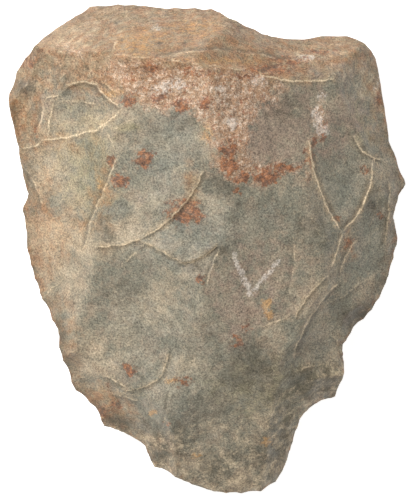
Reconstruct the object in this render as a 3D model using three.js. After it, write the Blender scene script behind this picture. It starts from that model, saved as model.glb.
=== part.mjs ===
// Stone hand axe: one thick cobble of fine-grained stone, knapped on both faces to a broad
// heart shape with a blunt butt and a rounded tip. It lies on its flatter face, butt towards
// +Y and the domed, better-worked face up. Millimetres. The origin is on the surface that
// the stone lies on, under the middle of its outline.
//
// The stone is worked out as it was made. A smooth blank is given for each face, every flake
// struck off takes a shallow hollow out of it, and what is left is the lowest of the hollows:
// where two of them meet there is a ridge.

import * as THREE from 'three';
import { mergeVertices } from 'three/addons/utils/BufferGeometryUtils.js';

const EDGE_THICKNESS = 1.2; // the knapped edge is worn blunt all round
const CELLS_ACROSS = 44; // cells of the net of triangles from the left edge to the right
const CELLS_ALONG = 54; // and from the butt to the tip
const RIDGE_REACH = 0.6; // share of a cell that a net point may move to lie on a ridge
const SLOPE_STEP = 4; // the blank's slope is taken over this distance each way

const STONE = new THREE.MeshStandardMaterial({
  color: 0x8d8272,
  roughness: 0.85,
  metalness: 0,
  flatShading: true,
});

// ---------------------------------------------------------------- the edge, seen from above

// Clockwise from the butt's left shoulder: the points x, y where one edge flake meets the
// next, and how far the edge bows out on the way there, or is bitten in where negative.
// Each list is one side of the stone, and ends where the next one starts.
const BUTT_EDGE = [
  [-49.5, 48.5, 0.7],
  [-40, 58.5, 0],
  [-31, 64.5, 0.7],
  [-13, 64, 0.2],
  [1.5, 63.5, 0],
  [14.5, 57, -1.2],
  [30, 56.5, 0],
  [37, 56.5, 1.2],
];
const RIGHT_EDGE = [
  [44.5, 50.5, 0.2],
  [48, 29, 0],
  [52.5, 17.5, -0.5],
  [49, 8.5, 0.7],
  [50, 1, 0.2],
  [46.5, -10.5, 0.4],
  [41.5, -18, -0.5],
  [36, -25, -0.4],
  [36.5, -30, 0.3],
];
const TIP_EDGE = [
  [34, -39, -1.5],
  [24.5, -45, 0],
  [20, -59, 0.5],
  [14.5, -64, 1.2],
  [-3, -62.5, 0],
  [-14, -57.5, 0.2],
  [-16.5, -52, -1],
];
const LEFT_EDGE = [
  [-27.5, -47, -1],
  [-35, -37, 0.5],
  [-39.5, -24.5, -1],
  [-41.5, -18, 0.9],
  [-48, 2.5, -0.4],
  [-49, 10.5, 0],
  [-47.5, 15, 0.3],
  [-50, 27, 0],
  [-52.5, 38, 1],
];
const SIDES = [
  { points: BUTT_EDGE, cells: CELLS_ACROSS },
  { points: RIGHT_EDGE, cells: CELLS_ALONG },
  { points: TIP_EDGE, cells: CELLS_ACROSS },
  { points: LEFT_EDGE, cells: CELLS_ALONG },
];

/** One stretch of the edge, from a point to the next, bowed out on the stone's left hand. */
function stretch([x0, y0, bow], [x1, y1]) {
  const start = new THREE.Vector2(x0, y0);
  const end = new THREE.Vector2(x1, y1);
  const outward = new THREE.Vector2(y0 - y1, x1 - x0).normalize();
  const pull = start.clone().add(end).multiplyScalar(0.5).addScaledVector(outward, 2 * bow);
  return new THREE.QuadraticBezierCurve(start, pull, end);
}

/** Net points along one side, in even steps, with one on every meeting of two flakes. */
function pointsAlong(curves, cells) {
  const length = curves.reduce((sum, curve) => sum + curve.getLength(), 0);
  const points = [];
  let run = 0;
  for (const curve of curves) {
    run += curve.getLength();
    const steps = Math.round((cells * run) / length) - points.length;
    points.push(...curve.getSpacedPoints(steps).slice(0, -1));
  }
  return points;
}

const RIM = SIDES.flatMap(({ points, cells }, side) => {
  const next = SIDES[(side + 1) % SIDES.length].points[0];
  const ends = [...points.slice(1), next];
  return pointsAlong(points.map((point, i) => stretch(point, ends[i])), cells);
});

/** The net square's own edge, counted in cells clockwise from its top left corner. */
function rimPlace(u, v) {
  const ring = Math.max(Math.abs(u), Math.abs(v));
  const across = u / ring;
  const along = v / ring;
  if (v === ring) return ((1 + across) / 2) * CELLS_ACROSS;
  if (u === ring) return CELLS_ACROSS + ((1 - along) / 2) * CELLS_ALONG;
  if (v === -ring) return CELLS_ACROSS + CELLS_ALONG + ((1 - across) / 2) * CELLS_ACROSS;
  return 2 * CELLS_ACROSS + CELLS_ALONG + ((1 + along) / 2) * CELLS_ALONG;
}

/** The point of the stone's edge at a place on the net square's edge. */
function rimPoint(place) {
  const before = Math.floor(place);
  const from = RIM[before % RIM.length];
  const to = RIM[(before + 1) % RIM.length];
  return from.clone().lerp(to, place - before);
}

// ------------------------------------------------------------------------- flake hollows

/** One hollow: its floor follows the blank's slope at its middle and curls up to its rim. */
function hollow(blank, row) {
  const [x0, y0, halfWidth, halfLength, turn, depth, curl = 1, leanX = 0, leanY = 0] = row;
  const floor = blank(x0, y0) - depth;
  const slope = (dx, dy) =>
    (blank(x0 + dx, y0 + dy) - blank(x0 - dx, y0 - dy)) / (2 * SLOPE_STEP);
  const slopeX = slope(SLOPE_STEP, 0) + leanX;
  const slopeY = slope(0, SLOPE_STEP) + leanY;
  const angle = THREE.MathUtils.degToRad(turn);
  return (x, y) => {
    const dx = x - x0;
    const dy = y - y0;
    const lengthwise = (dx * Math.cos(angle) + dy * Math.sin(angle)) / halfLength;
    const crosswise = (dy * Math.cos(angle) - dx * Math.sin(angle)) / halfWidth;
    const out = lengthwise ** 2 + crosswise ** 2;
    return floor + slopeX * dx + slopeY * dy + depth * out ** curl;
  };
}

const lowest = (hollows, x, y) => Math.min(...hollows.map((height) => height(x, y)));

// ---------------------------------------------------------------------- the net of points

/** Which of the hollows is the lowest at a point. */
function ownerAt(hollows, { x, y }) {
  return hollows.reduce((low, next) => (next(x, y) < low(x, y) ? next : low));
}

/** Where the ridge between two net points in different hollows lies, as a share of the way. */
function ridgeShare(from, to) {
  let [near, far] = [0, 1];
  for (let halving = 0; halving < 12; halving += 1) {
    const middle = (near + far) / 2;
    const { x, y } = from.plan.clone().lerp(to.plan, middle);
    if (from.owner(x, y) < to.owner(x, y)) near = middle;
    else far = middle;
  }
  return near;
}

/** Rows of net points over one face, with the nearest points moved onto every ridge. */
function netOver(hollows) {
  const rows = Array.from({ length: CELLS_ALONG + 1 }, (_, j) =>
    Array.from({ length: CELLS_ACROSS + 1 }, (__, i) => {
      const [u, v] = [(2 * i) / CELLS_ACROSS - 1, 1 - (2 * j) / CELLS_ALONG];
      const ring = Math.max(Math.abs(u), Math.abs(v));
      const plan = ring ? rimPoint(rimPlace(u, v)).multiplyScalar(ring) : new THREE.Vector2();
      return { plan, owner: ownerAt(hollows, plan), onRim: ring > 0.999, moved: false };
    }),
  );
  const moves = [];
  const weigh = (from, to) => {
    if (!to || from.owner === to.owner) return;
    const share = ridgeShare(from, to);
    const place = from.plan.clone().lerp(to.plan, share);
    moves.push({ point: from, other: to, share, place });
    moves.push({ point: to, other: from, share: 1 - share, place });
  };
  rows.forEach((row, j) =>
    row.forEach((point, i) => {
      weigh(point, row[i + 1]);
      weigh(point, rows[j + 1]?.[i]);
    }),
  );
  moves.sort((a, b) => a.share - b.share);
  for (const { point, other, share, place } of moves) {
    if (point.onRim || point.moved || other.moved || share > RIDGE_REACH) continue;
    point.plan = place;
    point.moved = true;
  }
  return rows;
}

// --------------------------------------------------------------------- the worked face

// Cross sections of the blank from the butt to the tip: y, the crown's x, the half width,
// and the heights of the crown and of the edge.
const SECTIONS = [
  [66, -4, 52, 46, 10],
  [40, -3, 50.5, 44.5, 14],
  [10, 1.5, 50.5, 42, 15],
  [-15, 1, 46, 37, 14],
  [-38, 0, 36, 28, 11.5],
  [-52, 1.5, 22, 19.5, 9],
  [-66, 4, 13, 10, 6.5],
];

function faceBlank(x, y) {
  const last = SECTIONS.length - 1;
  const found = SECTIONS.findIndex(([sectionY]) => sectionY <= y);
  const after = THREE.MathUtils.clamp(found < 0 ? last : found, 1, last);
  const [from, to] = [SECTIONS[after - 1], SECTIONS[after]];
  const share = THREE.MathUtils.clamp((from[0] - y) / (from[0] - to[0]), 0, 1);
  const [, axis, halfWidth, crown, edge] = from.map((v, i) => v + (to[i] - v) * share);
  return edge + (crown - edge) * (1 - ((x - axis) / halfWidth) ** 2);
}

// Each flake's hollow: its middle x, y, half width, half length, the direction of its length
// in degrees from +X, its depth, and where they matter how sharply its rim curls up (1 is an
// even bowl) and how much steeper than the blank it leans towards +X and +Y.
const FACE_FLAKES = [
  // the butt: steep facets struck from the far side, the third scooped out round
  [-34, 53, 16, 16, 0, 2, 1, -0.2, -2.05],
  [-9, 52.5, 29, 16, 0, 3, 1, 0.02, -2.12],
  [20.5, 51, 16, 18.5, 0, 7, 1, -0.1, -1.9],
  [30.5, 48, 8, 16, 0, 1.5, 1, 0.42, -0.95],
  [44, 50, 10.5, 10.5, 0, 1.2, 1, -0.9, -0.5],
  // the left shoulder: a cluster of short, stepped flakes
  [-32.5, 37, 7.5, 10, 12, 2.2, 2, 0, 0.02],
  [-33.5, 47.5, 3.5, 8, -10, 1.2, 1, 0, 0.1],
  [-25.5, 43.5, 3.5, 8, -55, 1.6, 1, 0.02, 0],
  [-42, 45.5, 5.5, 5.5, 0, 1.6],
  [-49, 47, 3.5, 5, 60, 1.5],
  [-46.5, 35, 4, 8, 95, 1.7, 1.6],
  [-43, 33.5, 2.5, 6.5, 80, 0.8],
  // the left flank, long flakes towards the middle
  [-38.5, 20, 16.5, 20.5, 0, 2.1, 1, -0.04, -0.05],
  [-47.5, 17.5, 3, 7, 115, 1.2, 1, 0.25, 0],
  [-42.5, -9.5, 12, 12.5, 0, 1.1],
  [-13.5, 21.5, 17, 26, 62, 1.7, 1, 0, 0.04],
  [-19, -15.5, 21, 23, 75, 3.6, 1.1, -0.08, 0.06],
  [-29, -38, 7.5, 10, -50, 2],
  [-19.5, -45.5, 6.5, 9, -40, 1.8],
  // the middle
  [-3, 9, 11, 16.5, 50, 1.9, 1.25, 0.02, 0.02],
  [17, -3.5, 19.5, 34, 75, 1.8, 1, 0.08, 0],
  [16, 36, 17.5, 20, 0, 1.2, 1, -0.1, 0],
  [-1, -29, 9, 12, 40, 1.2],
  // the right flank, from the shoulder down to the notch
  [35.5, 18.5, 9, 15.5, 95, 1.9, 1.4, 0.15, 0],
  [45, 36, 6.5, 14, 97, 1.2, 1, -0.05, 0],
  [44, 2.5, 8.5, 19.5, 82, 1.5, 1, 0.15, 0],
  [37, -3, 2.5, 10.5, 72, 1.2],
  [33, -18, 5.5, 12, 58, 2],
  [50, 16.5, 2.5, 5.5, 90, 1.3],
  [49, 3.5, 2.5, 7, 88, 1.3],
  [39.5, -18.5, 3.5, 5.5, 40, 2.8, 1.4, 0, 0.1],
  [30.5, -27, 4, 9, 10, 1.6],
  [27, -40.5, 10, 10.5, -30, 2.4, 1, -0.25, 0.45],
  // the tip
  [4, -48, 18, 22, 80, 1.3],
  [20.5, -55, 3.5, 9.5, 80, 1],
];
const FACE_HOLLOWS = FACE_FLAKES.map((row) => hollow(faceBlank, row));

const faceHeight = (x, y) => lowest(FACE_HOLLOWS, x, y);

// ------------------------------------------------------------------------ the underside

// The underside is measured downwards, so that its flakes are hollows as well. Its blank is
// an even bulge that would reach UNDER_BULGE below the surface the stone lies on: what is
// below that surface is left out, and makes the flat that the stone rests on.
const UNDER_BULGE = 4;
const UNDER_RISE = 17; // height of the bulge from its lowest point to the outline
const UNDER_HALF_WIDTH = 52;
const UNDER_HALF_LENGTH = 64;
const EDGE_BAND = 0.45; // outer share of the underside that is drawn up to meet the edge

// Flakes struck inwards all round: the direction they came from in degrees from +X, how far
// out their middle is, half width, half length and depth.
const UNDER_FLAKES = [
  [8, 37, 13, 17, 2.2],
  [42, 44, 14, 18, 3],
  [72, 46, 13, 17, 1.8],
  [104, 45, 15, 19, 2.8],
  [136, 44, 12, 16, 2],
  [168, 37, 14, 18, 2.6],
  [204, 34, 13, 16, 1.9],
  [240, 38, 14, 18, 2.7],
  [272, 45, 13, 17, 2],
  [304, 38, 12, 17, 2.4],
  [336, 34, 13, 16, 1.8],
];

const underBlank = (x, y) =>
  UNDER_BULGE - UNDER_RISE * ((x / UNDER_HALF_WIDTH) ** 2 + (y / UNDER_HALF_LENGTH) ** 2);

const UNDER_HOLLOWS = UNDER_FLAKES.map(([from, out, halfWidth, halfLength, depth]) => {
  const angle = THREE.MathUtils.degToRad(from);
  const middle = [out * Math.cos(angle), out * Math.sin(angle)];
  return hollow(underBlank, [...middle, halfWidth, halfLength, from, depth]);
});

const underWorked = (x, y) => Math.max(0, -lowest(UNDER_HOLLOWS, x, y));

/** Height of the underside over x, y, which lies at u, v on the net. */
function underHeight(x, y, u, v) {
  const ring = Math.max(Math.abs(u), Math.abs(v));
  if (ring === 0) return underWorked(x, y);
  const rim = rimPoint(rimPlace(u, v));
  const drawnUp = Math.max(0, (ring - 1 + EDGE_BAND) / EDGE_BAND) ** 2;
  const meeting = faceHeight(rim.x, rim.y) - EDGE_THICKNESS - underWorked(rim.x, rim.y);
  const height = Math.max(0, underWorked(x, y) + meeting * drawnUp);
  return Math.min(height, faceHeight(x, y) - EDGE_THICKNESS);
}

// ------------------------------------------------------------------------------ the stone

/** Height over x, y of the face (side above 0) or the underside (side below 0). */
const height = (side, x, y, u, v) => (side > 0 ? faceHeight(x, y) : underHeight(x, y, u, v));

/** Splits each cell of the net along the diagonal that follows the stone more closely. */
function turnDiagonals(stone, net) {
  const points = stone.attributes.position;
  const corners = stone.index.array;
  const miss = (i, j) => {
    const middle = (axis) => (points.getComponent(i, axis) + points.getComponent(j, axis)) / 2;
    const [u, v] = [net.getX(i) + net.getX(j), net.getY(i) + net.getY(j)].map((n) => n / 2);
    const surface = height(net.getZ(i), middle(0), middle(1), u, v);
    return Math.abs(surface - middle(2));
  };
  for (let cell = 0; cell < corners.length; cell += 6) {
    const [a, b, d] = corners.slice(cell, cell + 3);
    const c = corners[cell + 4];
    const onOneFace = new Set([a, b, c, d].map((i) => net.getZ(i))).size === 1;
    if (onOneFace && miss(a, c) < miss(b, d)) corners.set([a, b, c, a, c, d], cell);
  }
}

function knappedStone() {
  const box = new THREE.BoxGeometry(2, 2, 2, CELLS_ACROSS, CELLS_ALONG, 1);
  box.deleteAttribute('normal');
  box.deleteAttribute('uv');
  const stone = mergeVertices(box);
  const net = stone.attributes.position.clone();
  const faceNet = netOver(FACE_HOLLOWS);
  const underNet = netOver(UNDER_HOLLOWS);
  for (let index = 0; index < net.count; index += 1) {
    const [u, v, side] = [net.getX(index), net.getY(index), net.getZ(index)];
    const i = Math.round(((1 + u) / 2) * CELLS_ACROSS);
    const j = Math.round(((1 - v) / 2) * CELLS_ALONG);
    const { x, y } = (side > 0 ? faceNet : underNet)[j][i].plan;
    stone.attributes.position.setXYZ(index, x, y, height(side, x, y, u, v));
  }
  turnDiagonals(stone, net);
  stone.computeVertexNormals();
  return stone;
}

const handAxe = new THREE.Mesh(knappedStone(), STONE);
handAxe.name = 'hand_axe';

const model = new THREE.Group();
model.add(handAxe);

export default model;
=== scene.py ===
"""Stone hand axe lying on its flatter face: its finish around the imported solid, and its light."""

import math
import random

import bmesh
import bpy
import numpy as np
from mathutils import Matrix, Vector, noise


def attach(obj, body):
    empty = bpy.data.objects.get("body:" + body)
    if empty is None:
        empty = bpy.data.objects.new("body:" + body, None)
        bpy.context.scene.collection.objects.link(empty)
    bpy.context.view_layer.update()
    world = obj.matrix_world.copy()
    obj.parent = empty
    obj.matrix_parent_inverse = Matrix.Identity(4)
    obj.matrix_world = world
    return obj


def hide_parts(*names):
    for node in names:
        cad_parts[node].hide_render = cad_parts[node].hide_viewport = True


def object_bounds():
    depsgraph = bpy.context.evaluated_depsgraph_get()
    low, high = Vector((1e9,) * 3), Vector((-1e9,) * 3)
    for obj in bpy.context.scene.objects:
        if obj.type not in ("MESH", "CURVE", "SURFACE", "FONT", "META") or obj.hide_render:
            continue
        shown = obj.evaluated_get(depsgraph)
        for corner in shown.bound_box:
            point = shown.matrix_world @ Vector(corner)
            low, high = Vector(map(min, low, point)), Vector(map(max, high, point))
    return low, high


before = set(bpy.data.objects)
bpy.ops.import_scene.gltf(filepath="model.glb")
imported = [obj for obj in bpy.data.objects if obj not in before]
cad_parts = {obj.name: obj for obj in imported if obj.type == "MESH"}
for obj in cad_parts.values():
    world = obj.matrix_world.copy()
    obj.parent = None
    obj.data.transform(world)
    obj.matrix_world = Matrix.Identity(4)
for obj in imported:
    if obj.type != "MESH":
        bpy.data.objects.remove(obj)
cad_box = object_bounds()


# ---------------------------------------------------------------- the stone's form
# One thick cobble of fine-grained stone. A smooth blank was flaked all over: every flake took a
# shallow hollow out of it, and the hollows meet in ridges that are worn round. The solid gives
# the stone's place and outline; its faces are divided here and laid on the same hollows again.

MM = 0.001
FACE_CUTS = 4  # how finely the faces of the solid are divided
UNDER_CUTS = 2
MERGE_WITHIN = 1e-6
WALL_TILT = 0.02  # a face whose normal rises less than this is part of the blunt edge
EDGE_THICKNESS = 1.2

# Cross sections of the blank, butt to tip, in mm: y, the crown's x, half width, crown, edge.
SECTIONS = np.array([
    (66, -4, 52, 46, 10),
    (40, -3, 50.5, 44.5, 14),
    (10, 1.5, 50.5, 42, 15),
    (-15, 1, 46, 37, 14),
    (-38, 0, 36, 28, 11.5),
    (-52, 1.5, 22, 19.5, 9),
    (-66, 4, 13, 10, 6.5),
])
SLOPE_STEP = 4

# Each flake's hollow in mm and degrees: middle x, y, half width, half length, direction, depth,
# how sharply its rim curls up, and how much it leans towards +X and +Y.
BROAD_FLAKES = [
    # the butt
    (-34, 53, 16, 16, 0, 2, 1, -0.2, -2.05),
    (-9, 52.5, 29, 16, 0, 3, 1, 0.02, -2.12),
    (20.5, 51, 16, 18.5, 0, 7, 1, -0.1, -1.9),
    (30.5, 48, 8, 16, 0, 1.5, 1, 0.42, -0.95),
    (44, 50, 10.5, 10.5, 0, 1.2, 1, -0.9, -0.5),
    # the left flank and the middle
    (-38.5, 20, 16.5, 20.5, 0, 2.1, 1, -0.04, -0.05),
    (-42.5, -9.5, 12, 12.5, 0, 1.1, 1, 0, 0),
    (-13.5, 21.5, 17, 26, 62, 1.7, 1, 0, 0.04),
    (-19, -15.5, 21, 23, 75, 3.6, 1.1, -0.08, 0.06),
    (-3, 9, 11, 16.5, 50, 1.9, 1.25, 0.02, 0.02),
    (17, -3.5, 19.5, 34, 75, 1.8, 1, 0.08, 0),
    (16, 36, 17.5, 20, 0, 1.2, 1, -0.1, 0),
    (-1, -29, 9, 12, 40, 1.2, 1, 0, 0),
    # the right flank and the tip
    (45, 36, 6.5, 14, 97, 1.2, 1, -0.05, 0),
    (44, 2.5, 8.5, 19.5, 82, 1.5, 1, 0.15, 0),
    (4, -48, 18, 22, 80, 1.3, 1, 0, 0),
    (20.5, -55, 3.5, 9.5, 80, 1, 1, 0, 0),
]
SMALL_FLAKES = [
    # the left shoulder
    (-32.5, 37, 7.5, 10, 12, 2.2, 2, 0, 0.02),
    (-33.5, 47.5, 3.5, 8, -10, 1.2, 1, 0, 0.1),
    (-25.5, 43.5, 3.5, 8, -55, 1.6, 1, 0.02, 0),
    (-42, 45.5, 5.5, 5.5, 0, 1.6, 1, 0, 0),
    (-49, 47, 3.5, 5, 60, 1.5, 1, 0, 0),
    (-46.5, 35, 4, 8, 95, 1.7, 1.6, 0, 0),
    (-43, 33.5, 2.5, 6.5, 80, 0.8, 1, 0, 0),
    # along the left edge
    (-47.5, 17.5, 3, 7, 115, 1.2, 1, 0.25, 0),
    (-29, -38, 7.5, 10, -50, 2, 1, 0, 0),
    (-19.5, -45.5, 6.5, 9, -40, 1.8, 1, 0, 0),
    # along the right edge
    (35.5, 18.5, 9, 15.5, 95, 1.9, 1.4, 0.15, 0),
    (37, -3, 2.5, 10.5, 72, 1.2, 1, 0, 0),
    (33, -18, 5.5, 12, 58, 2, 1, 0, 0),
    (50, 16.5, 2.5, 5.5, 90, 1.3, 1, 0, 0),
    (49, 3.5, 2.5, 7, 88, 1.3, 1, 0, 0),
    (39.5, -18.5, 3.5, 5.5, 40, 2.8, 1.4, 0, 0.1),
    (30.5, -27, 4, 9, 10, 1.6, 1, 0, 0),
    (27, -40.5, 10, 10.5, -30, 2.4, 1, -0.25, 0.45),
]
BROAD_SHARPNESS = 1.8  # the higher, the less worn are the ridges between hollows
SMALL_SHARPNESS = 6

# The underside is an even bulge, measured downwards, with flakes struck inwards all round:
# direction they came from, how far out their middle is, half width, half length and depth.
UNDER_BULGE = 4
UNDER_RISE = 17
UNDER_HALF_WIDTH = 52
UNDER_HALF_LENGTH = 64
EDGE_BAND = 0.45  # outer share of the underside that is drawn up to meet the edge
UNDER_FLAKES = [
    (8, 37, 13, 17, 2.2), (42, 44, 14, 18, 3), (72, 46, 13, 17, 1.8), (104, 45, 15, 19, 2.8),
    (136, 44, 12, 16, 2), (168, 37, 14, 18, 2.6), (204, 34, 13, 16, 1.9), (240, 38, 14, 18, 2.7),
    (272, 45, 13, 17, 2), (304, 38, 12, 17, 2.4), (336, 34, 13, 16, 1.8),
]


def face_blank(x, y):
    """Height of the smooth blank of the worked face."""
    order = SECTIONS[::-1]
    axis, half, crown, edge = (np.interp(y, order[:, 0], order[:, k]) for k in range(1, 5))
    return edge + (crown - edge) * (1 - ((x - axis) / half) ** 2)


def under_blank(x, y):
    """How far the smooth underside bulges down."""
    return UNDER_BULGE - UNDER_RISE * ((x / UNDER_HALF_WIDTH) ** 2 + (y / UNDER_HALF_LENGTH) ** 2)


def hollow(blank, x, y, flake):
    """Height of one flake's hollow over the points x, y."""
    x0, y0, half_width, half_length, turn, depth, curl, lean_x, lean_y = flake
    step = SLOPE_STEP
    slope_x = (blank(x0 + step, y0) - blank(x0 - step, y0)) / (2 * step) + lean_x
    slope_y = (blank(x0, y0 + step) - blank(x0, y0 - step)) / (2 * step) + lean_y
    c, s = math.cos(math.radians(turn)), math.sin(math.radians(turn))
    dx, dy = x - x0, y - y0
    out = ((dx * c + dy * s) / half_length) ** 2 + ((dy * c - dx * s) / half_width) ** 2
    return blank(x0, y0) - depth + slope_x * dx + slope_y * dy + depth * out ** curl


def worn_lowest(beds, sharpness):
    """The lowest of the hollows, with the ridges between them worn round."""
    low = beds.min(axis=0)
    return low - np.log(np.exp(-sharpness * (beds - low)).sum(axis=0)) / sharpness


def face_height(x, y):
    """Height of the flaked worked face."""
    broad = [hollow(face_blank, x, y, flake) for flake in BROAD_FLAKES]
    small = [hollow(face_blank, x, y, flake) for flake in SMALL_FLAKES]
    broad_face = worn_lowest(np.stack(broad), BROAD_SHARPNESS)
    return worn_lowest(np.stack([broad_face, *small]), SMALL_SHARPNESS)


def under_worked(x, y):
    """Height of the flaked underside, before its edge is drawn up."""
    beds = []
    for turn, out, half_width, half_length, depth in UNDER_FLAKES:
        middle = out * math.cos(math.radians(turn)), out * math.sin(math.radians(turn))
        flake = (*middle, half_width, half_length, turn, depth, 1, 0, 0)
        beds.append(hollow(under_blank, x, y, flake))
    return np.maximum(0, -worn_lowest(np.stack(beds), BROAD_SHARPNESS))


stone = bmesh.new()
stone.from_mesh(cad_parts["hand_axe"].data)
bmesh.ops.remove_doubles(stone, verts=stone.verts, dist=MERGE_WITHIN)
stone.normal_update()
top_edges = list({e for f in stone.faces if f.normal.z > WALL_TILT for e in f.edges})
low_edges = list({e for f in stone.faces if f.normal.z < -WALL_TILT for e in f.edges})
bmesh.ops.subdivide_edges(stone, edges=top_edges, cuts=FACE_CUTS, use_grid_fill=True)
bmesh.ops.subdivide_edges(stone, edges=low_edges, cuts=UNDER_CUTS, use_grid_fill=True)
bmesh.ops.triangulate(stone, faces=[f for f in stone.faces if len(f.verts) > 3])
stone.normal_update()
stone.verts.index_update()

place = np.array([v.co for v in stone.verts]) / MM
X, Y = place[:, 0], place[:, 1]

# Which points belong to the worked face, to the underside, and to the edge between them.
on_top, on_low, on_wall = np.zeros((3, len(place)), bool)
for facet in stone.faces:
    steep = abs(facet.normal.z) < WALL_TILT
    part = on_wall if steep else on_top if facet.normal.z > 0 else on_low
    for vert in facet.verts:
        part[vert.index] = True

# The rim as a fan of directions from the middle, to tell how far in from it a point lies.
rim_points = place[on_top & on_wall]
rim_turn = np.arctan2(rim_points[:, 1], rim_points[:, 0])
order = np.argsort(rim_turn)
rim_points, rim_turn = rim_points[order], rim_turn[order]
rim_reach = np.hypot(rim_points[:, 0], rim_points[:, 1])
turn = np.arctan2(Y, X)
reach = np.interp(turn, rim_turn, rim_reach, period=2 * math.pi)
inset = np.maximum(0, reach - np.hypot(X, Y))
rim_x, rim_y = reach * np.cos(turn), reach * np.sin(turn)

# ---- retouch: short chips all round, which nick the edge and run a little way over the face.
# Widths, depths and the reach are in mm, and directions in degrees; the rest are shares.
RETOUCH_SEED = 11
NICK_WIDTH = (1.8, 6.5)
NICK_DEPTH = (0.15, 0.8)
NICK_SPACING = (0.8, 1.0)
NICK_REACH = 3.5
CHIP_RUN = 1.1
CHIP_SPREAD = (0.5, 1.4)
CHIP_DROP = 1.8
SMOOTH_BUTT = (22, 72)
SMOOTH_DEPTH = 0.35

random.seed(RETOUCH_SEED)
rim_step = np.hypot(*(np.roll(rim_points, -1, axis=0) - rim_points)[:, :2].T)
rim_run = np.concatenate([[0], np.cumsum(rim_step)])
run = np.interp(turn, rim_turn, rim_run[:-1], period=2 * math.pi)
nick, chip = np.zeros((2, len(place)))
start = 0
while start < rim_run[-1]:
    width = random.uniform(*NICK_WIDTH)
    depth = random.uniform(*NICK_DEPTH) * width / NICK_WIDTH[1]
    direction = math.degrees(np.interp(start, rim_run[:-1], rim_turn))
    if SMOOTH_BUTT[0] < direction < SMOOTH_BUTT[1]:
        depth *= SMOOTH_DEPTH
    across = (run - start - width / 2) / (width / 2)
    bowl = np.where(np.abs(across) < 1, 1 - across ** 2, 0)
    nick = np.maximum(nick, depth * bowl)
    length = CHIP_RUN * width * random.uniform(*CHIP_SPREAD)
    chip = np.maximum(chip, CHIP_DROP * depth * bowl * np.maximum(0, 1 - inset / length))
    start += width * random.uniform(*NICK_SPACING)
pull = nick * np.maximum(0, 1 - inset / NICK_REACH) ** 2
X, Y = X * (1 - pull / reach), Y * (1 - pull / reach)

# ---- heights of both faces; the ridges wander a little, as the stone's grain made them
WANDER = [(9, 0.9), (3.5, 0.35)]  # length of the bends and how far they stray, in mm
WANDER_HOLD = 4  # distance from the rim over which the wander grows from nothing
LAYER_STEP = (7.3, 3.1)


def swell(size, layer, *axes):
    """Smooth noise between about -1 and 1 over the points, with bumps of a size in mm.

    Each layer is another stretch of the same noise.
    """
    away = Vector((layer * LAYER_STEP[0], layer * LAYER_STEP[1], 0))
    flat = axes if len(axes) == 3 else (*axes, np.zeros(len(axes[0])))
    return np.array([noise.noise(Vector(p) / size + away) for p in zip(*flat)])


wander_x = sum(far * swell(size, 5, X, Y) for size, far in WANDER)
wander_y = sum(far * swell(size, 6, X, Y) for size, far in WANDER)
held = np.clip(inset / WANDER_HOLD, 0, 1)
face = face_height(X + wander_x * held, Y + wander_y * held)
face_rim = face_height(rim_x, rim_y)
ring = 1 - inset / reach
drawn = np.maximum(0, (ring - 1 + EDGE_BAND) / EDGE_BAND) ** 2
under = under_worked(X, Y)
under += (face_rim - EDGE_THICKNESS - under_worked(rim_x, rim_y)) * drawn
low = np.minimum(np.maximum(0, under), face - chip - EDGE_THICKNESS)

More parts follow.
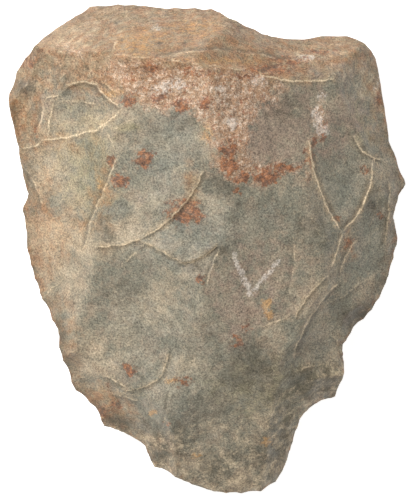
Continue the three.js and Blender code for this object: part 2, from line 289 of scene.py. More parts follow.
# ---- scar edges: where a flake broke off in a step, or two flakes left a crisp crest. Each is a
# chain of arcs: its first point, then each next point and how far the arc bows to the left on
# the way there. After it come the crest's height, how much the ground on the left hand is
# raised, and how pale it is rubbed.
SCAR_EDGES = [
    # the long scar on the right flank, and the strips below it
    ([(26.5, 29), (35, 5, -1.6)], 0.2, -0.3, 1.0),
    ([(43.5, 23), (35.5, 5, 2.2)], 0.25, 0.3, 0.9),
    ([(35.5, 5), (32.5, -4.5, 0.2)], 0.25, 0.1, 0.8),
    ([(39, 2.5), (35, -7.5, -1)], 0.15, 0.25, 0.45),
    ([(32.5, -6), (22.5, -18.5, -1)], 0.2, -0.35, 0.6),
    ([(35, -8), (22.5, -28, -1.7)], 0.15, -0.25, 0.5),
    ([(40, -8.5), (31, -14, 0.8)], 0.1, -0.15, 0.3),
    ([(38, 31), (46.5, 23.5, -1.8)], 0.15, 0.3, 0.6),
    ([(48, 19), (46.5, 0.5, 0.6)], 0.2, 0.3, 0.35),
    ([(24.5, -31.5), (34.5, -33, 1.9)], 0.2, 0.55, 0.45),
    ([(32.5, -22.5), (34, -25.5, 0.9)], 0.2, 0.2, 0.5),
    ([(25.5, 17), (27.5, 22, 0.2)], 0.05, 0.2, 0.3),
    # the broken tongue in the middle
    ([(-1, 21), (-13, 5.5, 1.4), (-29.5, 1, 1.5)], 0.3, -0.3, 0.8),
    ([(-17.5, 2.5), (-6.5, -3.5, 0.2), (3, 2, -1.2)], 0.15, 1.25, 0.5),
    ([(3.5, 1), (-0.5, -11, -0.5)], 0.15, 0.4, 0.3),
    ([(-22.5, -4), (-17.5, 0.5, 0)], 0.05, 0.1, 0.25),
    # the left shoulder's cluster
    ([(-43.5, 29), (-29.5, 31.5, -0.5), (-23, 36, -0.2)], 0.3, 0.1, 0.95),
    ([(-42, 29.5), (-40.5, 38.5, 0.3)], 0.25, 0.1, 0.7),
    ([(-38, 41.5), (-29, 43, 1.9), (-23, 37.5, -0.5)], 0.2, 0.55, 0.6),
    ([(-50, 27), (-43.5, 29, -1)], 0.2, 0.1, 0.6),
    ([(-43.5, 40), (-38.5, 40.5, 0)], 0.2, 0.2, 0.6),
    ([(-44.5, 41.5), (-45, 31.5, 1.6)], 0.15, 0.4, 0.35),
    ([(-39, 39), (-26.5, 37.5, 0.7)], 0.1, 0.1, 0.35),
    ([(-35, 47.5), (-38.5, 41, 0.4)], 0.1, 0.3, 0.15),
    ([(-31.5, 49), (-23, 41, -0.8)], 0.1, 0.3, 0.3),
    ([(-36, 47), (-28.5, 44.5, 0.3)], 0.05, 0.55, 0.1),
    # the left flank
    ([(-23.5, 25), (-29, 11.5, 0.2), (-32.5, 0, -0.2)], 0.15, 0.4, 0.45),
    ([(-49.5, 23), (-43.5, 11.5, 1)], 0.2, 0.4, 0.35),
    ([(-26.5, 32), (-23.5, 24, 0)], 0.05, 0, 0.25),
    ([(-25.5, 31), (-16.5, 35.5, 0.3)], 0.05, 0, 0.25),
    ([(-43.5, -13), (-39, -8.5, 0.3)], 0.05, 0.1, 0.4),
    # the butt
    ([(13.5, 46), (30, 44.5, -0.9), (43.5, 46, 0.3)], 0.15, 0.1, 0.8),
    ([(13, 46.5), (20.5, 50, -1.2), (37, 55.5, -1.5)], 0.15, -0.25, 0.2),
    ([(-24, 58.5), (-25, 51, 0.5)], 0.2, 0.2, 0.5),
    ([(-15, 49.5), (20, 49.5, 2.6)], 0.2, -0.4, 0.2),
    ([(-43.5, 53.5), (-24, 51, -1.9), (10, 47, 0)], 0.15, 0, 0.3),
    # low down towards the tip
    ([(-28, -33), (-21, -36.5, 0.5)], 0.15, 0.3, 0.45),
    ([(-21.5, -37), (-13, -34, -0.6), (-10.5, -26, -0.8)], 0.15, 0.55, 0.45),
    ([(-25.5, -37.5), (-18, -40, 0.2)], 0.15, 0.3, 0.45),
    ([(-10, -36.5), (-12, -47, 0.5)], 0.05, 0.2, 0.1),
    ([(23, -16), (13.5, -20.5, 0.3)], 0.1, 0.1, 0.35),
    ([(22.5, 4), (20.5, -13.5, 1.2)], 0.05, 0.15, 0.2),
]
ARC_STEPS = 6
CREST_HALF = 0.45
STEP_FACE = 0.25  # half width of the step's own face
STEP_SPREAD = 5  # how far the raised ground runs back from it
STEP_DROP = 0.35  # how far the sunk ground runs, as a share of that
RAISED_SHARE = 0.6
SUNK_SHARE = 0.4
END_FADE = 2.5
END_LEAST = 0.25
FAR_GAP = 5.0
# Known fault: a point further than this from a chain gets a gap of 0, as if it lay on it. This
# flecks the tip and, more faintly, the notch on the lower right and the butt's right corner.
LONGEST_GAP = 99.0
SHAKE = 0.35
SHAKE_SIZE = 2.5


def along_arcs(chain):
    """Points along a chain of arcs."""
    points = [chain[0]]
    for x1, y1, bow in chain[1:]:
        x0, y0 = points[-1]
        length = math.dist((x0, y0), (x1, y1))
        pull_x = (x0 + x1) / 2 - 2 * bow * (y1 - y0) / length
        pull_y = (y0 + y1) / 2 + 2 * bow * (x1 - x0) / length
        for k in range(1, ARC_STEPS + 1):
            t = k / ARC_STEPS
            weights = (1 - t) ** 2, 2 * t * (1 - t), t ** 2
            axes = (x0, pull_x, x1), (y0, pull_y, y1)
            points.append(tuple(np.dot(weights, axis) for axis in axes))
    return points


def gap_to(points, x, y):
    """Signed distance to a chain of points, left positive, and how far from its ends, in mm."""
    gap = np.full(len(x), LONGEST_GAP)
    left = np.zeros(len(x))
    end_gap = np.zeros(len(x))
    total = sum(math.dist(a, b) for a, b in zip(points, points[1:]))
    gone = 0
    for (ax, ay), (bx, by) in zip(points, points[1:]):
        length = math.dist((ax, ay), (bx, by))
        ux, uy = (bx - ax) / length, (by - ay) / length
        along = (x - ax) * ux + (y - ay) * uy
        held = np.clip(along, 0, length)
        away = np.hypot(x - ax - held * ux, y - ay - held * uy)
        nearer = away < gap
        side = np.sign((y - ay) * ux - (x - ax) * uy)
        gap = np.where(nearer, away, gap)
        left = np.where(nearer, side, left)
        end_gap = np.where(nearer, np.minimum(gone + held, total - gone - held), end_gap)
        gone += length
    return gap * left, end_gap


scar_gap = np.full(len(X), FAR_GAP)
scar_pale, scar_step, relief = np.zeros((3, len(X)))
shake_x = SHAKE * swell(SHAKE_SIZE, 7, X, Y)
shake_y = SHAKE * swell(SHAKE_SIZE, 8, X, Y)
for chain, crest, raised, pale in SCAR_EDGES:
    gap, end_gap = gap_to(along_arcs(chain), X + shake_x, Y + shake_y)
    gap *= -1 if raised > 0 else 1  # positive on the low side
    fade = np.clip(end_gap / END_FADE + END_LEAST, 0, 1)
    relief += crest * fade * np.exp(-(gap / CREST_HALF) ** 2)
    side = np.clip(-gap / STEP_FACE, -1, 1)
    away = np.abs(gap)
    up = np.maximum(side, 0) * np.exp(-away / STEP_SPREAD) * RAISED_SHARE
    down = np.minimum(side, 0) * np.exp(-away / (STEP_SPREAD * STEP_DROP)) * SUNK_SHARE
    relief += abs(raised) * fade * (up + down) * np.clip(end_gap / END_FADE, 0, 1)
    closer = away < np.abs(scar_gap)
    scar_gap = np.where(closer, gap, scar_gap)
    scar_pale = np.where(closer, pale * fade, scar_pale)
    scar_step = np.where(closer, abs(raised) * fade, scar_step)

# ---- the surface between the edges: slow swells, fracture ripples and the crushed crystals
SWELLS = [(14, 0.42), (5.5, 0.22), (2.2, 0.1), (1.1, 0.05)]  # size and height in mm
# Ripples: where the blow fell, their spacing and height, and the middle and half sizes of
# the patch that shows them.
RIPPLES = [
    (24, 66, 2.4, 0.035, 19, 53, 15, 5), (2, -12, 1.5, 0.08, 3, -26, 6, 6),
    (-56, 26, 3.6, 0.05, -38, 20, 9, 9), (-48, -10, 4.2, 0.06, -20, -18, 12, 12),
    (8, -66, 3.4, 0.05, 4, -48, 11, 11), (52, 0, 3.0, 0.05, 42, -4, 5, 12),
    (-22, 46, 3.2, 0.05, -12, 24, 10, 12),
]
# Crushed zone: middle x, y, half sizes and strength of each patch.
CRUSHED_PLACES = [
    (-14, 43, 9, 5, 1), (-4, 42, 7, 5, 1), (5, 38, 7, 7, 0.9), (7, 30, 4, 8, 0.8),
    (12, 43, 7, 4, 0.7), (9, 21, 6, 3, 0.7), (-22, 47, 6, 3, 0.6), (20, 21, 7, 2, 0.5),
    (29, 34, 2, 5, 0.7), (26, 24, 2, 4, 0.4), (-36, 52, 5, 2, 0.5),
]
SHARD = 1.9
SHARD_DEPTH = 1.3
PATCH_SHAKE = 2.2
PATCH_SIZE = 6
# Distances from the rim, or heights on the underside, over which the relief comes in.
SCAR_HOLD = 1.5
ROUGH_HOLD = 2.5
ROUGH_LEAST = 0.15
UNDER_HOLD = 1.5
UNDER_CHIPPED = 1


def spread(rows, x, y):
    """Soft patches of one kind: middle, half sizes and strength of each, in mm."""
    bare = np.ones(len(x))
    for x0, y0, half_x, half_y, strength in rows:
        bare *= 1 - strength * np.exp(-((x - x0) / half_x) ** 2 - ((y - y0) / half_y) ** 2)
    return 1 - bare


Z = np.where(on_top, face, low)
patch_x = X + PATCH_SHAKE * swell(PATCH_SIZE, 9, X, Y, Z)
patch_y = Y + PATCH_SHAKE * swell(PATCH_SIZE, 10, X, Y, Z)
crushed = spread(CRUSHED_PLACES, patch_x, patch_y) * on_top
rough = np.zeros(len(X))
for layer, (size, height) in enumerate(SWELLS):
    rough += height * swell(size, layer, X, Y, Z)
shards = np.array([noise.voronoi(Vector(p) / SHARD)[0][0] for p in zip(X, Y, Z)])
rough -= SHARD_DEPTH * crushed * np.clip(shards, 0, 1)
for x0, y0, spacing, height, *patch in RIPPLES:
    wave = np.sin(2 * math.pi * (np.hypot(X - x0, Y - y0) + wander_x) / spacing)
    rough += height * wave * spread([(*patch, 1)], X, Y)
face_relief = relief * np.clip(inset / SCAR_HOLD, 0, 1)
face_relief += rough * np.clip(inset / ROUGH_HOLD, ROUGH_LEAST, 1)
face_relief -= chip
low_relief = rough * np.clip(low / UNDER_HOLD, 0, 1) - chip * (low > UNDER_CHIPPED)
Z = np.where(on_top, face + face_relief, np.maximum(0, low + low_relief))
Z = np.clip(Z, 0, cad_box[1][2] / MM)

mesh = bpy.data.meshes.new("hand_axe_stone")
for vert, x, y, z in zip(stone.verts, X, Y, Z):
    vert.co = (x * MM, y * MM, z * MM)
stone.to_mesh(mesh)
stone.free()
axe = bpy.data.objects.new("hand_axe_stone", mesh)
bpy.context.scene.collection.objects.link(axe)
for polygon in mesh.polygons:
    polygon.use_smooth = True
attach(axe, "root")
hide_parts("hand_axe")


# ---------------------------------------------------------------- the stone's colour
# Fresh breaks in this stone are grey-green. Lying in the ground turned its butt and edges tan, left
# rust and smoky stains on it, and handling rubbed the scar edges pale. Pale patches of painted light
# lie mostly on the left flank, and painted shade darkens the notches, the nicks, the foot of each scar
# step and the tip. Each kind of mark is a soft mask kept on the mesh, and the material breaks the masks
# up as it lays them on.

# Marks in mm: middle x, y, half sizes and strength.
TAN = [
    (-30, 57, 24, 12, 1), (-8, 57, 20, 11, 1), (10, 52, 20, 7, 0.85), (33, 55, 14, 5, 0.7),
    (-22, 46, 10, 5, 0.6), (4, 47, 16, 4, 0.7), (-50, 40, 6, 14, 0.85), (-46, 12, 6, 12, 0.5),
    (-46, -10, 6, 14, 0.55), (-39, -26, 5, 10, 0.55), (-29, -42, 8, 7, 0.8), (-11, -53, 6, 5, 0.3),
    (46, 42, 4, 12, 0.5), (-28, 14, 3, 8, 0.45), (-4, 14, 3, 8, 0.5), (6, 25, 4, 8, 0.4),
    (-40, 4, 12, 6, 0.45), (-38, 28, 10, 4, 0.3), (37, 2, 2, 6, 0.35),
]
SLATE = [
    (-8, 27, 8, 9, 0.6), (-12, 20, 5, 6, 0.6), (-9, 3, 8, 5, 0.85), (1, 39, 5, 3, 0.9),
    (-12, -15, 16, 20, 0.4), (36, 14, 9, 12, 0.5), (42, -3, 8, 12, 0.5), (31, -26, 6, 6, 0.5),
    (-5, -40, 14, 14, 0.4), (4, 5, 8, 6, 0.4), (26, 50.3, 4, 1.2, 0.8), (-31, 52.5, 3, 1.5, 0.8),
    (-46, 38, 3, 4, 0.4), (15, 9, 8, 5, 0.3), (-11, 59, 3, 1, 0.4), (-41.5, 49.5, 2, 1.5, 0.6),
]
OLIVE = [
    (-33, 27, 8, 10, 0.45), (28, -36, 9, 4, 0.8), (23, -46, 4, 8, 0.6), (-30, 15, 6, 10, 0.4),
    (-21.5, 32, 3, 1.5, 0.8), (10, -36, 12, 9, 0.3), (42, 35, 5, 9, 0.3), (-2, 32, 3, 3, 0.4),
]
PINK = [
    (16, 36, 14, 10, 0.5), (12, -8, 14, 12, 0.35), (14, 26, 12, 7, 0.5), (36, 33, 8, 9, 0.3),
    (30, 48, 12, 3, 0.5), (-46, 38, 4, 4, 0.5), (-29, 41, 5, 3, 0.3), (-42, 4, 7, 6, 0.3),
    (8, -18, 4, 8, 0.4),
]
# dark patches: painted shade in the notches and recesses along the edges, under the broken tongue's lip
# and towards the tip, and smoky stains elsewhere
SHADE_AND_SMOKE = [
    (4, 17, 4, 3, 0.7), (15, 20.5, 6, 2, 0.5), (20, 37, 8, 6, 0.35), (-6, 8, 4, 3, 0.4),
    (28, 6, 5, 6, 0.35), (43, 13, 2.5, 5, 0.5), (2.5, 0, 3, 1.5, 0.9), (-3, -4, 4, 1, 0.5),
    (40, -17, 5, 2.5, 0.9), (-48.5, 43, 4, 2, 1), (-47.5, 19, 2, 5, 0.7), (-39, -23, 1.5, 4, 0.9),
    (28, -36, 8, 5, 1), (11, -31, 8, 7, 0.6), (21, -47, 4, 7, 0.6), (-10, -50, 7, 5, 0.5),
    (15, -54, 6, 6, 0.55), (-14, -54, 5, 4, 0.5), (-24, -46, 6, 2, 0.8), (-22, -11, 5, 4, 0.35),
    (-47, 50, 3, 2, 0.6), (-37, 47, 5, 3, 0.35), (-27, 4, 3, 5, 0.45), (-20, -33, 4, 3, 0.4),
    (0, -41, 6, 5, 0.3), (3, -57, 5, 4, 0.5), (-5, 35, 5, 4, 0.35), (-15, 29, 4, 3, 0.3),
]
# painted light: pale patches, mostly on the left flank that faces the lamp
PAINTED_LIGHT = [
    (-42, 4, 9, 4, 1), (-29, 0.5, 5, 3, 0.9), (-38, -6, 6, 8, 0.55), (-30, -28, 8, 6, 0.6),
    (-42, 23, 7, 8, 0.6), (-29, 33, 7, 3, 0.5), (-41, 57, 9, 4, 0.7), (7, 33, 2.5, 1.5, 0.8),
    (-8, 41, 4, 2, 0.6), (29, 33, 1.5, 4, 0.6), (-18, 5, 8, 3.5, 0.6), (-6, 20, 4, 3, 0.3),
    (-14, -14, 5, 6, 0.3), (-9, -10, 5, 5, 0.3), (-6, -30, 5, 4, 0.3), (33, -28, 3, 3, 0.3),
    (9, -60, 3, 3, 0.4), (-30, 49.5, 10, 1, 0.5), (42, -10, 4, 4, 0.25), (-35, 12, 4, 6, 0.3),
]
RUST = [
    (-16.5, 24, 2.2, 2.2, 1), (-6, 10, 4, 2.8, 1), (-23, 18, 1.8, 1.5, 1), (-25, 23, 1, 1.5, 1),
    (5.5, 25.5, 1.8, 2.5, 1), (6, 21.5, 1.8, 1.8, 0.9), (9, 19, 2, 1.2, 1), (15.5, 19, 3, 1.8, 1),
    (20, 21.5, 3, 1, 1), (26.5, 24.5, 1.2, 2.2, 1), (28, 28.5, 1, 1, 0.8), (30.5, 29.5, 1, 1, 0.6),
    (8, 15, 1, 1, 0.7), (45.5, 40, 1.2, 1.8, 1), (37, 1.5, 1.2, 1.5, 0.8), (34, 8, 1, 1, 0.6),
    (41.5, 21.5, 1, 1, 0.7), (45.5, 9, 1, 1, 0.5), (-20.5, -31.5, 1.6, 1.6, 1),
    (-2, -7.5, 0.9, 1.2, 0.7), (7.5, -24, 1.6, 1.6, 0.5), (10.5, -20, 1.4, 1.4, 0.4),
    (-20.5, 39, 1.6, 1.6, 1), (-13, 39.5, 1.6, 1.2, 0.7), (-6.5, 37.5, 2, 1.5, 0.9),
    (-0.5, 38, 1.4, 1.2, 1), (-47.5, 50, 3, 1.6, 0.9), (-44, 52.5, 2.5, 1, 0.6),
    (17, 47.3, 4, 1.2, 0.9), (22, 50, 4, 1, 0.8), (31, 52.2, 5, 0.8, 0.5), (-15, 47.5, 2, 1.5, 0.6),
    (-11, 41.5, 1.5, 1.5, 0.5), (10.5, 45.5, 3, 1, 0.5), (-28, -43, 2, 1.5, 0.7),
    (-24, -41, 1.4, 1.2, 0.6), (-6.5, -34.5, 2.5, 1.2, 0.45), (-1, 46, 5, 0.8, 0.5),
    (-26, -36, 1, 1, 0.3), (-45.5, 31, 1, 2, 0.4), (-11, -46, 1, 1, 0.3),
]
OCHRE = [
    (15.5, -14, 1, 1, 0.9), (16, -17, 1, 1, 0.9), (-14.5, -43, 1, 1, 0.8), (-3, -54.5, 1.2, 1, 0.7),
    (15.5, -50.5, 1.5, 1.2, 0.6), (-10, -34, 1.5, 1, 0.6), (0, 30, 2, 3, 0.4), (-25, 41, 3, 1, 0.5),
    (4, 49, 10, 1, 0.4), (-18, 54, 6, 4, 0.4), (-3, 58, 8, 3, 0.3), (-28, 17, 0.8, 2, 0.6),
]
QUARTZ = [
    (26.5, 50.4, 2, 0.7, 1), (29, 34, 1, 3, 0.8), (30.5, 31.5, 1, 1.6, 0.8), (6.5, 33, 1.4, 1, 0.9),
    (-13.5, 58.5, 1, 0.8, 0.5), (30, 40.5, 1.5, 1, 0.4), (13, 44, 2, 1.5, 0.5), (-12, 42, 2, 2, 0.6),
    (-8, 43, 2.5, 1.5, 0.5), (45, 43, 1, 2.5, 0.5), (3, 42, 2, 1, 0.4),
]
SPECKS = [
    (-24, 59.5), (-22.5, 55), (-45.5, 44.5), (-27.5, -42), (-23.5, -40.5), (14.5, -57.5),
    (-28, 15.5), (-40.5, 9.5), (-17.5, 0.5), (-2, -7), (-19, 1), (-12.5, 54), (-30.5, 32.2),
    (35, 3.5), (1, -22), (-14, -27), (8, 12), (-35, -14), (41, 27), (-6, 54),
]
SPECK_HALF = (0.55, 0.45)
# Veins of white crystal, as chains of arcs.
VEINS = [[(6.5, 0), (11.5, -11.5, -0.3), (19.5, -2.5, 0.3)], [(27, 37), (30.5, 30, 0.3)]]
VEIN_FAR = 9.0
VEIN_SHAKE = 2
VEIN_TAPER = 1
VEIN_HALF = 0.6
VEIN_STRENGTH = 0.7

vein_gap = np.full(len(X), VEIN_FAR)
for chain in VEINS:
    gap, end_gap = gap_to(along_arcs(chain), X + VEIN_SHAKE * shake_x, Y + VEIN_SHAKE * shake_y)
    vein_gap = np.minimum(vein_gap, np.abs(gap) + np.maximum(0, VEIN_TAPER - end_gap))
veins = VEIN_STRENGTH * np.exp(-(vein_gap / VEIN_HALF) ** 2)

# Small pits hold dirt, and the high grains between them are rubbed: size, layer and share.
PITS = [(2.2, 2, 0.6), (1.1, 3, 0.4)]
pits = -sum(share * swell(size, layer, X, Y, Z) for size, layer, share in PITS)

MARK_SHAKE = 0.8
MARK_SIZE = 3
NICK_SHADE = 2
RIM_BAND = 1.5
smooth_x = X + MARK_SHAKE * swell(MARK_SIZE, 12, X, Y, Z)
smooth_y = Y + MARK_SHAKE * swell(MARK_SIZE, 13, X, Y, Z)
masks = {
    "tan": spread(TAN, patch_x, patch_y),
    "slate": spread(SLATE, patch_x, patch_y),
    "olive": spread(OLIVE, patch_x, patch_y),
    "pink": spread(PINK, patch_x, patch_y),
    "shade_and_smoke": spread(SHADE_AND_SMOKE, smooth_x, smooth_y),
    "painted_light": spread(PAINTED_LIGHT, smooth_x, smooth_y),
    "rust": spread(RUST, smooth_x, smooth_y),
    "ochre": spread(OCHRE, smooth_x, smooth_y),
    "quartz": np.maximum(spread(QUARTZ, smooth_x, smooth_y), veins),
    "speck": spread([(x, y, *SPECK_HALF, 1) for x, y in SPECKS], X, Y),
    "crushed": crushed,
    "scar_pale": scar_pale,
    "scar_step": scar_step,
    # painted shade in the nicks along the rim, stronger where the chip runs deeper
    "nick": np.clip(NICK_SHADE * chip, 0, 1),
}
masks = {name: values * on_top for name, values in masks.items()}
masks |= {"scar_gap": scar_gap, "pits": pits, "rim": np.exp(-inset / RIM_BAND)}
for name, values in masks.items():
    layer = mesh.attributes.new(name, "FLOAT", "POINT")
    layer.data.foreach_set("value", values.astype(np.float32))


def add(tree, kind, inputs=None, **settings):
    """One node, with its settings, and its inputs given as values or as other nodes' outputs."""
    made = tree.nodes.new(kind)
    for name, value in settings.items():
        setattr(made, name, value)
    for name, value in (inputs or {}).items():
        if isinstance(value, bpy.types.NodeSocket):
            tree.links.new(value, made.inputs[name])
        else:
            made.inputs[name].default_value = value
    return made


def maths(tree, operation, *values):
    """The result of one sum on values or other nodes' outputs."""
    return add(tree, "ShaderNodeMath", dict(enumerate(values)), operation=operation).outputs[0]


def times(tree, first, second):
    return maths(tree, "MULTIPLY", first, second)


def ramp(tree, value, low, high, out_low=0.0, out_high=1.0):
    """The value carried smoothly from one range to another."""
    made = add(tree, "ShaderNodeMapRange", {
        "Value": value, "From Min": low, "From Max": high, "To Min": out_low, "To Max": out_high,
    }, interpolation_type="SMOOTHSTEP")
    return made.outputs["Result"]


def new_group(name, inputs, outputs):
    """An empty node group: its tree, its input sockets and its output node's sockets."""
    tree = bpy.data.node_groups.new(name, "ShaderNodeTree")
    for socket, kind, value in inputs:
        made = tree.interface.new_socket(socket, in_out="INPUT", socket_type=kind)
        if value is not None:
            made.default_value = value
    for socket, kind in outputs:
        tree.interface.new_socket(socket, in_out="OUTPUT", socket_type=kind)
    given = tree.nodes.new("NodeGroupInput").outputs
    result = tree.nodes.new("NodeGroupOutput").inputs
    return tree, given, result


def use(tree, group, **inputs):
    """A node group placed in a material or in another group: its outputs."""
    made = tree.nodes.new("ShaderNodeGroup")
    made.node_tree = group
    for name, value in inputs.items():
        socket = made.inputs[name.replace("_", " ")]
        if isinstance(value, bpy.types.NodeSocket):
            tree.links.new(value, socket)
        else:
            socket.default_value = value
    return made.outputs


# grain: noise of one size in mm, from 0 to 1
NUMBER, VECTOR = "NodeSocketFloat", "NodeSocketVector"
grain_group, given, result = new_group("grain", [
    ("Place", VECTOR, None), ("Size", NUMBER, 1), ("Detail", NUMBER, 3), ("Rough", NUMBER, 0.6),
], [("Value", NUMBER)])
noise_node = add(grain_group, "ShaderNodeTexNoise", {
    "Vector": given["Place"], "Scale": maths(grain_group, "DIVIDE", 1 / MM, given["Size"]),
    "Detail": given["Detail"], "Roughness": given["Rough"],
})
grain_group.links.new(noise_node.outputs["Fac"], result["Value"])

# stain: a soft mask broken up into patches of one size in mm
MASK_GAIN = 1.5
MASK_START, MASK_WHOLE = 0.02, 0.2
stain_group, given, result = new_group("stain", [
    ("Place", VECTOR, None), ("Mask", NUMBER, 0), ("Size", NUMBER, 2), ("Break", NUMBER, 0.9),
    ("Soft", NUMBER, 0.3),
], [("Mask", NUMBER)])
tree = stain_group
patches = use(tree, grain_group, Place=given["Place"], Size=given["Size"], Detail=5.0, Rough=0.7)
uneven = maths(tree, "SUBTRACT", patches["Value"], 0.5)
broken = times(tree, uneven, times(tree, given["Break"], 2))
level = maths(tree, "ADD", times(tree, given["Mask"], MASK_GAIN), broken)
soft = ramp(tree, maths(tree, "SUBTRACT", level, 0.5), times(tree, given["Soft"], -1), given["Soft"])
present = ramp(tree, given["Mask"], MASK_START, MASK_WHOLE)
tree.links.new(times(tree, soft, present), result["Mask"])

# rubbed edge and step shadow: a thin broken line where the gap is small, a faint band about it, and
# painted shadow at the foot of the step on its low side; distances in mm
WAVER_SIZE, WAVER = 1.6, 0.9
WORN_SIZE = 2.2
BAND_HALF = 1.8
STEP_SHADOW_START, STEP_SHADOW_DARKEST, STEP_SHADOW_END = 0.1, 0.5, 1.6
wear_and_shadow_group, given, result = new_group("edge wear and step shadow", [
    ("Place", VECTOR, None), ("Gap", NUMBER, 5), ("Pale", NUMBER, 0), ("Step", NUMBER, 0),
    ("Half width", NUMBER, 0.35),
], [("Line", NUMBER), ("Band", NUMBER), ("Step shadow", NUMBER)])
tree = wear_and_shadow_group
waver = use(tree, grain_group, Place=given["Place"], Size=WAVER_SIZE, Detail=3.0, Rough=0.6)
strayed = times(tree, maths(tree, "SUBTRACT", waver["Value"], 0.5), WAVER)
shifted = maths(tree, "ADD", given["Gap"], strayed)
off = maths(tree, "ABSOLUTE", shifted)
worn = use(tree, grain_group, Place=given["Place"], Size=WORN_SIZE, Detail=3.0, Rough=0.7)["Value"]
kept = ramp(tree, maths(tree, "ADD", times(tree, given["Pale"], 0.5), worn), 0.5, 0.95)
line = ramp(tree, maths(tree, "DIVIDE", off, given["Half width"]), 1.0, 0.2)
line = times(tree, line, ramp(tree, given["Pale"], 0.0, 0.15))
tree.links.new(times(tree, line, kept), result["Line"])
band = times(tree, ramp(tree, off, BAND_HALF, 0.0), given["Pale"])
tree.links.new(times(tree, band, ramp(tree, worn, 0.35, 0.6)), result["Band"])
# painted shadow along the low side of the step
step_shadow_in = ramp(tree, shifted, STEP_SHADOW_START, STEP_SHADOW_DARKEST)
step_shadow_out = ramp(tree, shifted, STEP_SHADOW_END, STEP_SHADOW_DARKEST)
step_shadow = times(tree, step_shadow_in, step_shadow_out)
tree.links.new(times(tree, step_shadow, ramp(tree, given["Step"], 0.0, 0.25)), result["Step shadow"])

finish = bpy.data.materials.new("knapped stone")
finish.use_nodes = True
tree = finish.node_tree
shader = tree.nodes["Principled BSDF"]
spot = add(tree, "ShaderNodeTexCoord").outputs["Object"]


def paint(red, green, blue):
    """A colour given as it looks, from 0 to 255."""
    levels = [c / 255 for c in (red, green, blue)]
    return (*(c / 12.92 if c < 0.04045 else ((c + 0.055) / 1.055) ** 2.4 for c in levels), 1)


def blend(below, over, amount, mode="MIX"):
    """One colour laid over another."""
    made = add(tree, "ShaderNodeMix", data_type="RGBA", blend_type=mode, clamp_factor=True)
    for socket, value in ((0, amount), (6, below), (7, over)):
        if isinstance(value, bpy.types.NodeSocket):
            tree.links.new(value, made.inputs[socket])
        else:
            made.inputs[socket].default_value = value
    return made.outputs[2]


def mask(name):
    """One of the masks kept on the mesh."""
    return add(tree, "ShaderNodeAttribute", attribute_name=name).outputs["Fac"]


def grain(size, detail=3.0, rough=0.6):
    """Noise of a size in mm, from 0 to 1."""
    return use(tree, grain_group, Place=spot, Size=size, Detail=detail, Rough=rough)["Value"]


# the ground colours, in clouds and then in flecks: colour, size in mm, detail and roughness of
# the noise, where in it they begin and where they are whole, and strength
clouds = ramp(tree, grain(8, 5.0, 0.7), 0.41, 0.6)
colour = blend(paint(125, 121, 105), paint(154, 143, 122), clouds)
FLECKS = [
    (paint(154, 132, 110), 4.1, 5.0, 0.7, 0.46, 0.64, 0.5),
    (paint(180, 160, 130), 1.3, 4.0, 0.85, 0.5, 0.68, 0.3),
    (paint(98, 98, 84), 1.7, 4.0, 0.85, 0.5, 0.68, 0.25),
]
for tint, size, detail, coarseness, begin, whole, strength in FLECKS:
    flecks = ramp(tree, grain(size, detail, coarseness), begin, whole)
    colour = blend(colour, tint, times(tree, flecks, strength))

# the stains over them, with painted light and painted shade among them, from the broadest to the
# smallest: mask, colour, size of their patches in mm, how far they break up, how soft their edges are,
# and strength
tan = blend(paint(154, 112, 76), paint(146, 124, 94), ramp(tree, grain(2.7, 5.0, 0.7), 0.4, 0.6))
white_grains = ramp(tree, grain(1.2, 5.0, 0.9), 0.46, 0.6)
rusty_grains = ramp(tree, grain(2.3, 5.0, 0.8), 0.56, 0.64)
crystal = blend(paint(166, 126, 94), paint(222, 198, 174), white_grains)
crystal = blend(crystal, paint(156, 92, 60), rusty_grains)
rust = blend(paint(100, 62, 44), paint(160, 100, 60), ramp(tree, grain(1.1, 4.0, 0.7), 0.42, 0.6))
STAINS = [
    ("slate", paint(122, 126, 116), 4, 1.6, 0.5, 0.4),
    ("olive", paint(142, 136, 100), 4, 1.6, 0.5, 0.5),
    ("pink", paint(156, 130, 114), 3, 1.8, 0.5, 0.5),
    ("tan", tan, 4, 1.4, 0.5, 0.85),
    # painted light: pale patches where faces catch the lamp
    ("painted_light", paint(204, 180, 148), 3, 1.6, 0.7, 0.4),
    # painted shade and smoky stains: dark patches
    ("shade_and_smoke", paint(84, 78, 64), 2.5, 1.3, 0.7, 0.76),
    ("crushed", crystal, 3, 1.6, 0.4, 0.75),
    ("quartz", paint(222, 212, 200), 1, 3.2, 0.5, 0.52),
    ("ochre", paint(190, 142, 84), 1.2, 2.0, 0.4, 0.6),
    ("rust", rust, 1.5, 2.4, 0.35, 0.8),
]
for name, tint, size, breaking, softness, strength in STAINS:
    laid = use(tree, stain_group, Place=spot, Mask=mask(name), Size=size, Break=breaking, Soft=softness)
    colour = blend(colour, tint, times(tree, laid["Mask"], strength))
colour = blend(colour, paint(70, 60, 50), times(tree, mask("speck"), 0.8))

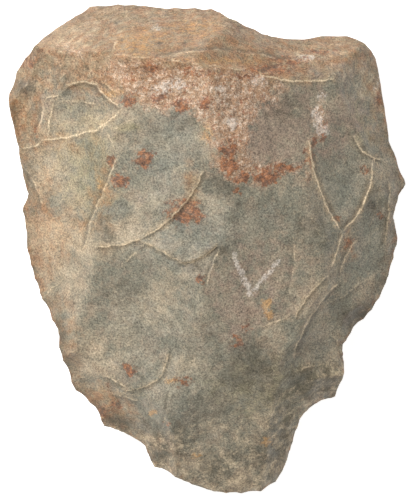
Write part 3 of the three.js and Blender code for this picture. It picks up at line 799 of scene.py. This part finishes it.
# the rim, then wear, dirt and painted shade: colour, where it shows, and strength
RUBBED_HALF = 0.3
rim = blend(paint(150, 108, 76), paint(112, 98, 72), ramp(tree, grain(3.1, 4.0), 0.4, 0.6))
rim_patches = ramp(tree, grain(2.1, 4.0), 0.38, 0.62)
colour = blend(colour, rim, times(tree, mask("rim"), rim_patches))
wear_and_shadow = use(tree, wear_and_shadow_group, Place=spot, Gap=mask("scar_gap"), Pale=mask("scar_pale"),
             Step=mask("scar_step"), Half_width=RUBBED_HALF)
WEAR_DIRT_AND_SHADE = [
    # painted shade in the nicks
    (paint(96, 84, 66), mask("nick"), 0.35),
    (paint(190, 162, 126), wear_and_shadow["Band"], 0.5),
    # painted shadow at the foot of each scar step
    (paint(74, 68, 54), wear_and_shadow["Step shadow"], 0.45),
    (paint(222, 200, 166), wear_and_shadow["Line"], 0.75),
    (paint(76, 70, 58), ramp(tree, mask("pits"), 0.08, 0.45), 0.2),
    (paint(206, 186, 156), ramp(tree, mask("pits"), -0.08, -0.45), 0.12),
]
for tint, where, strength in WEAR_DIRT_AND_SHADE:
    colour = blend(colour, tint, times(tree, where, strength))

# lighter and darker grains of every size
COARSE_GRAIN = 1.1
FINE_GRAIN = 3.2
DARKEST = 0.3
coarse = times(tree, maths(tree, "SUBTRACT", grain(4.5, 5.0, 0.85), 0.5), COARSE_GRAIN)
fine = times(tree, maths(tree, "SUBTRACT", grain(0.45, 2.0, 0.9), 0.5), FINE_GRAIN)
shade = maths(tree, "ADD", maths(tree, "ADD", coarse, fine), 1)
shade = maths(tree, "MAXIMUM", shade, DARKEST)
grey = add(tree, "ShaderNodeCombineColor", {"Red": shade, "Green": shade, "Blue": shade})
colour = blend(colour, grey.outputs["Color"], 1.0, "MULTIPLY")
tree.links.new(colour, shader.inputs["Base Color"])

# a dull surface with a fine tooth in two sizes
DULLNESS = (0.55, 0.8)
TOOTH_STRENGTH = 0.6
TOOTH_HEIGHT = 0.15 * MM
tree.links.new(ramp(tree, grain(2.5, 4.0), 0.3, 0.7, *DULLNESS), shader.inputs["Roughness"])
tooth = maths(tree, "ADD", grain(0.5, 3.0, 0.7), times(tree, grain(1.6, 3.0, 0.6), 1.5))
bump = add(tree, "ShaderNodeBump", {
    "Strength": TOOTH_STRENGTH, "Distance": TOOTH_HEIGHT, "Height": tooth,
})
tree.links.new(bump.outputs["Normal"], shader.inputs["Normal"])
mesh.materials.append(finish)


# ---------------------------------------------------------------- floor, light, camera
# The stone lies loose on plain white paper, under an even white sky. One soft lamp stands high
# over its upper left, and the camera looks straight down on it. Sizes here are in metres.

FLOOR_SIZE = 3
FLOOR_GREY = 0.9
FLOOR_GLOW = 0.75
SKY_LIGHT = 0.36
WHITE = (1, 1, 1, 1)
LAMP_PLACE = Vector((-0.5, 0.36, 1.0))
LAMP_AIM = Vector((0, 0, 0.02))
LAMP_SIZE = 0.3
LAMP_POWER = 13.2
CAMERA_HEIGHT = 2.5
SENSOR = 36  # spans the view's longer side, in mm
VIEW_HEIGHT = 0.132  # what that side takes in, at the level of the stone's edge
VIEW_LEVEL = 0.015

bpy.ops.mesh.primitive_plane_add(size=FLOOR_SIZE)
floor = bpy.context.object
floor.name = "floor"
paper = bpy.data.materials.new("floor")
paper.use_nodes = True
sheet = paper.node_tree.nodes["Principled BSDF"].inputs
sheet["Base Color"].default_value = (FLOOR_GREY, FLOOR_GREY, FLOOR_GREY, 1)
sheet["Emission Color"].default_value = WHITE
sheet["Emission Strength"].default_value = FLOOR_GLOW
floor.data.materials.append(paper)

world = bpy.data.worlds.new("studio")
bpy.context.scene.world = world
world.use_nodes = True
sky = world.node_tree.nodes["Background"].inputs
sky["Color"].default_value = WHITE
sky["Strength"].default_value = SKY_LIGHT

light = bpy.data.lights.new("key", "AREA")
light.size = LAMP_SIZE
light.energy = LAMP_POWER
lamp = bpy.data.objects.new("key", light)
lamp.location = LAMP_PLACE
lamp.rotation_euler = (LAMP_AIM - LAMP_PLACE).to_track_quat("-Z", "Y").to_euler()
bpy.context.scene.collection.objects.link(lamp)

camera_data = bpy.data.cameras.new("camera")
camera_data.sensor_width = SENSOR
camera_data.lens = SENSOR * (CAMERA_HEIGHT - VIEW_LEVEL) / VIEW_HEIGHT
camera = bpy.data.objects.new("camera", camera_data)
camera.location = (0, 0, CAMERA_HEIGHT)
bpy.context.scene.collection.objects.link(camera)
bpy.context.scene.camera = camera
bpy.context.scene.view_settings.view_transform = "Standard"
